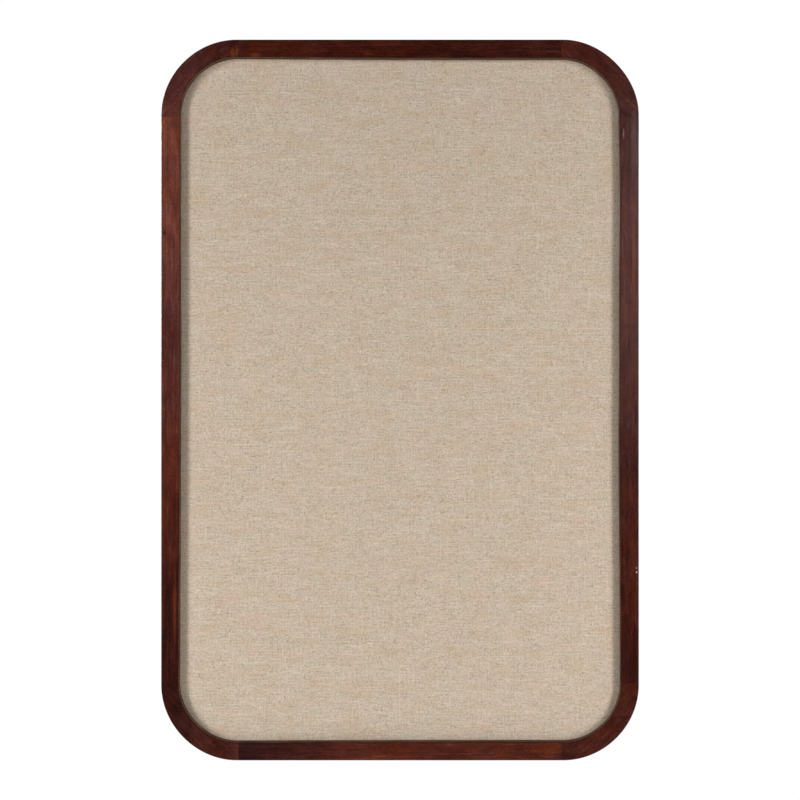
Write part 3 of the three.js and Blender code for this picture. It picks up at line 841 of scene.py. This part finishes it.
outward_of = {"top": (0, 1), "right": (1, 0), "bottom": (0, -1), "left": (-1, 0)}
for name in point_names:
    low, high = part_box(name)
    outline = point_outline(low, high, np.array(outward_of[name.split("_")[2]]))
    make_piece(name + "_strip", plate_rings(outline, low.y, high.y, 0.08 * mm), steel,
               "board", (name,))
print("points:", len(point_names))

# %% [markdown]
# ## Hangers
#
# A hanger is a strip folded round the bar of a D-shaped wire ring, with both layers held down by
# one screw. The three are drawn once, upright, with the ring's axis along x at z = 0 and y the
# height above the wood, and then placed on each side.

# %% Hanger sizes
strip_width = 8 * mm
strip_sheet = 0.8 * mm
strip_knee = 5 * mm
strip_points = 150
screw_drop = 17 * mm
wire = 2 * mm
ring_points = 140
ring_low, ring_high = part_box("hanger_ring_left")
pivot = (ring_low.y + ring_high.y) / 2 - wood_back
ring_reach = ring_high.z - ring_low.z - wire / 2
ring_half = (ring_high.x - ring_low.x - wire) / 2
ring_bend = 2 * mm
knuckle = wire / 2 + 0.25 * mm + strip_sheet / 2


def hanger_frames():
    """For each side: the middle of the ring's axis, and the way up along the board."""
    ends = {"left": (0, 1), "right": (0, 1), "top": (-1, 0), "bottom": (-1, 0)}
    for side, up in ends.items():
        low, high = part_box("hanger_screw_" + side)
        screw = np.array(((low.x + high.x) / 2, (low.z + high.z) / 2))
        yield side, screw + screw_drop * np.array(up), np.array(up)


def placed(points, middle, up):
    """Turns a drawing (x across, y above the wood, z up) so that its z points along up."""
    across = np.array((up[1], -up[0]))
    flat = middle + points[..., :1] * across + points[..., 2:] * up
    return np.stack((flat[..., 0], wood_back + points[..., 1], flat[..., 1]), axis=-1)


# %% The folded strip
def strip_path():
    """Middle line of the sheet: tail, along the wood, round the knuckle, and back on top."""
    seam = 0.02 * mm
    tail = -(screw_drop + strip_width / 2)
    turn = arc((0, pivot), knuckle, -1.12, 1.6, 26)
    ahead = np.linspace(tail, -strip_knee, 16)
    bottom = np.column_stack((ahead, np.full_like(ahead, strip_sheet / 2)))
    top = np.column_stack((ahead[::-1], np.full_like(ahead, 1.5 * strip_sheet + seam)))
    return np.concatenate((bottom, turn, top))


def smoothed(path, rounds):
    """Each inner point moves to the mean of itself and its neighbours, which rounds the knees."""
    for _ in range(rounds):
        path = path.copy()
        path[1:-1] = 0.25 * path[:-2] + 0.5 * path[1:-1] + 0.25 * path[2:]
    return path


def resampled(path, count):
    """The same line with evenly spaced points."""
    travelled = np.cumsum(np.linalg.norm(np.diff(path, axis=0, prepend=path[:1]), axis=1))
    even = np.linspace(0, travelled[-1], count)
    return np.column_stack([np.interp(even, travelled, path[:, i]) for i in range(path.shape[1])])


def strip_rings():
    """Across the path a flat bar with round edges; past the screw it narrows as a half circle."""
    path = smoothed(resampled(strip_path(), strip_points), 6)
    along = np.gradient(path, axis=0)
    along /= np.linalg.norm(along, axis=1, keepdims=True)
    normal = np.column_stack((-along[:, 1], along[:, 0]))
    past = np.clip(-screw_drop - path[:, 0], 0, strip_width / 2 - 0.02 * mm)
    half = np.sqrt((strip_width / 2) ** 2 - past ** 2)
    edge = 0.22 * mm
    bar = rounded_outline(1.0, strip_sheet / 2, edge, 4)
    wide = bar[:, 0] - np.sign(bar[:, 0])
    x = np.sign(bar[:, 0])[None] * half[:, None] + wide[None]
    above = path[:, None] + bar[None, :, 1:] * normal[:, None]
    return np.stack((x, above[..., 1], above[..., 0]), axis=-1)


# %% The wire ring
def ring_line():
    """The D: half the bar, a small bend, a leg, the half circle of the bow, and back."""
    bow = ring_reach - wire / 2 - ring_half
    line = np.concatenate((
        np.array([(0.2 * mm, 0.0)]),
        arc((ring_half - ring_bend, ring_bend), ring_bend, -1, 0, 12),
        arc((0, bow), ring_half, 0, 2, 48),
        arc((ring_bend - ring_half, ring_bend), ring_bend, 2, 3, 12),
        np.array([(-0.2 * mm, 0.0)])))
    return resampled(line, ring_points)


def ring_rings():
    """Around the line a circle: middle + r (cos a * sideways + sin a * away from the wood)."""
    line = ring_line()
    along = np.gradient(line, axis=0)
    along /= np.linalg.norm(along, axis=1, keepdims=True)
    side = np.column_stack((along[:, 1], -along[:, 0]))
    circle = arc((0, 0), wire / 2, 0, 4, 20)[:-1]
    flat = line[:, None] + circle[None, :, :1] * side[:, None]
    high = np.broadcast_to(pivot + circle[None, :, 1], flat.shape[:2])
    return np.stack((flat[..., 0], high, -flat[..., 1]), axis=-1)


# %% The screw
head_radius = 3 * mm
head_height = 1.8 * mm
head_rim = 0.6 * mm
shank_radius = 1.5 * mm
shank_length = 12 * mm
shank_point = 3 * mm
cross_half = 0.42 * mm
cross_reach = 1.7 * mm
cross_depth = 1.1 * mm


def screw_rings():
    """A turned profile, with a cross pressed into its dome, deepest in the middle."""
    around = np.linspace(0, 2 * np.pi, 96, endpoint=False)
    quarter = np.linspace(0, np.pi / 2, 40)
    shank_out = (0.0, shank_radius, shank_radius, head_radius, head_radius)
    shank_up = (-shank_length, shank_point - shank_length, 0.0, 0.0, head_rim)
    dome = head_rim + (head_height - head_rim) * np.sin(quarter)
    out = np.concatenate((shank_out, head_radius * np.cos(quarter)))
    up = np.concatenate((shank_up, dome))
    x = out[:, None] * np.cos(around)[None]
    z = out[:, None] * np.sin(around)[None]
    along = np.maximum(abs(x), abs(z))
    across = np.clip((cross_half - np.minimum(abs(x), abs(z))) / (0.12 * mm), 0, 1)
    ends = np.clip((cross_reach - along) / (0.15 * mm), 0, 1)
    pressed = across * ends * (cross_depth - 0.35 * along)
    pressed[:len(shank_up)] = 0
    high = 2 * strip_sheet + up[:, None] - pressed
    return np.stack((x, high, z - screw_drop), axis=-1)


# %% Place the hangers
hangers = list(hanger_frames())
for side, middle, up in hangers:
    make_piece("hanger_strip_" + side, placed(strip_rings(), middle, up), brass,
               "board", ("hanger_strap_" + side,))
    make_piece("hanger_wire_" + side, placed(ring_rings(), middle, up), brass,
               "ring_" + side, ("hanger_ring_" + side,))
    make_piece("hanger_fixing_" + side, placed(screw_rings(), middle, up), brass,
               "board", ("hanger_screw_" + side,))
print("hangers:", len(hangers))

# %% [markdown]
# ## Bumpers
#
# Moulded rubber feet keep the hangers off the wall. Each is turned from a profile: a straight
# wall, a soft rim and a flat end with a small moulding dimple.

# %% The bumpers
def bumper_rings(middle, radius, height):
    """Turned: a wall, a soft rim and a flat end that sinks to a dimple in the middle."""
    rim = 1.2 * mm
    foot = 0.2 * mm
    dimple_depth = 0.5 * mm
    share = np.linspace(1, 0, 10)
    wall = np.array([(0, 0), (radius - foot, 0), (radius, foot)])
    edge = arc((radius - rim, height - rim), rim, 0, 1, 8)
    end = np.column_stack((
        share * (radius - rim), height - dimple_depth * np.clip(1 - 2.2 * share, 0, 1)))
    shape = np.concatenate((wall, edge, end[1:]))
    around = np.linspace(0, 2 * np.pi, 64, endpoint=False)
    x = middle[0] + shape[:, :1] * np.cos(around)
    z = middle[1] + shape[:, :1] * np.sin(around)
    y = np.broadcast_to(wood_back + shape[:, 1:], x.shape)
    return np.stack((x, y, z), axis=-1)


bumper_names = sorted(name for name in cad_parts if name.startswith("bumper_"))
for name in bumper_names:
    low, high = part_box(name)
    middle = np.array(((low.x + high.x) / 2, (low.z + high.z) / 2))
    sanded = sanded_back[name.replace("bumper", "corner")] * mm
    middle -= np.sign(middle) * np.sqrt(0.5) * sanded / 2
    make_piece(name + "_foot", bumper_rings(middle, (high.x - low.x) / 2, high.y - wood_back),
               rubber, "board", (name,))
print("bumpers:", len(bumper_names))

# %% [markdown]
# ## Studio
#
# The photograph is a plain product picture: straight on, at eye level with the middle of the
# board, on white. It was taken from near, for the walls of the opening show a little on all four
# sides. An upright soft light stands to the left and another to the right, a little in front, and
# each throws the shadow of one side of the lip onto the linen. Both lean away at the top, so each
# is built of a near box below and a far box above: the linen is a little brighter at the bottom,
# and the top of the lip throws a short soft shadow. A dim strip near the camera only shows as the
# grey sheen on the upper part of the right stile. Lamps behind and above serve the other views.

# %% Camera
film = 36.0
camera_distance = 1.0
camera_aside = 50 * mm
picture_width = 845.2 * mm
camera_data = bpy.data.cameras.new("camera")
camera_data.sensor_width = film
camera_data.lens = film * camera_distance / picture_width
camera_data.shift_x = -camera_aside / picture_width
camera = bpy.data.objects.new("camera", camera_data)
camera.location = (camera_aside, front - camera_distance, 0.0)
camera.rotation_euler = (np.pi / 2, 0.0, 0.0)
bpy.context.scene.collection.objects.link(camera)
bpy.context.scene.camera = camera
print("lens:", round(camera_data.lens, 1), "mm")


# %% Lights
def soft_box(name, place, aim, width, height, power):
    """An area light at a place, turned so that its -z points at the aim and its y stays up."""
    data = bpy.data.lights.new(name, "AREA")
    data.shape = "RECTANGLE"
    data.size = width
    data.size_y = height
    data.energy = power
    box = bpy.data.objects.new(name, data)
    box.location = place
    box.rotation_euler = (Vector(aim) - Vector(place)).to_track_quat("-Z", "Y").to_euler()
    bpy.context.scene.collection.objects.link(box)


soft_box("box_left_low", (-1.29, -0.87, -0.32), (0, 0, -0.32), 0.4, 0.6, 10.5)
soft_box("box_left_high", (-1.59, -1.08, 0.55), (0, 0, 0.3), 0.4, 0.62, 15.0)
soft_box("box_right_low", (1.20, -0.885, -0.32), (0, 0, -0.32), 0.4, 0.6, 9.05)
soft_box("box_right_high", (1.51, -1.11, 0.55), (0, 0, 0.3), 0.4, 0.62, 12.7)
soft_box("strip_near_camera", (0.66, -1.62, 0.36), (0.24, 0, 0.15), 0.14, 0.75, 1.0)
soft_box("box_behind_left", (-1.6, 1.9, 0.7), (0, 0, 0), 1.2, 1.2, 62)
soft_box("box_behind_right", (1.7, 1.7, 0.2), (0, 0, 0), 1.0, 1.3, 38)
soft_box("panel_above", (0.0, 0.6, 1.9), (0, 0, 0), 1.8, 1.0, 9)

# %% [markdown]
# The room is white to the camera, as the cut-out background of the photograph is, and only a
# dim, even light as far as the board is concerned, so that the shadows on the linen stay.

# %% Room
room_light = 0.02
seen_white = 1.02
world = bpy.data.worlds.new("white_room")
world.use_nodes = True
bpy.context.scene.world = world
room = world.node_tree
room.nodes.clear()
seen = add(room, "LightPath").outputs["Is Camera Ray"]
strength = mapped(room, seen, 0.0, 1.0, room_light, seen_white)
white = add(room, "Background", {"Color": (1, 1, 1, 1), "Strength": strength})
add(room, "OutputWorld", {"Surface": white.outputs["Background"]})
print("room:", world.name)

# %% Floor
floor_radius = 1.15
floor_level = -0.98
floor_points = 96
floor_material, floor_tree, floor_shader = new_material("pale_floor")
plug(floor_tree, floor_shader, {"Base Color": paint("#ececea"), "Roughness": 0.9})
floor_mesh = bpy.data.meshes.new("floor")
disc = arc((0, 0), floor_radius, 0, 4, floor_points)[:-1]
floor_mesh.from_pydata(np.column_stack((disc, np.full(floor_points, floor_level))).tolist(), [],
                       [list(range(floor_points))])
floor_mesh.materials.append(floor_material)
floor = bpy.data.objects.new("floor", floor_mesh)
bpy.context.scene.collection.objects.link(floor)
bpy.context.scene.view_settings.view_transform = "Standard"
print("floor:", 2 * floor_radius, "m across")
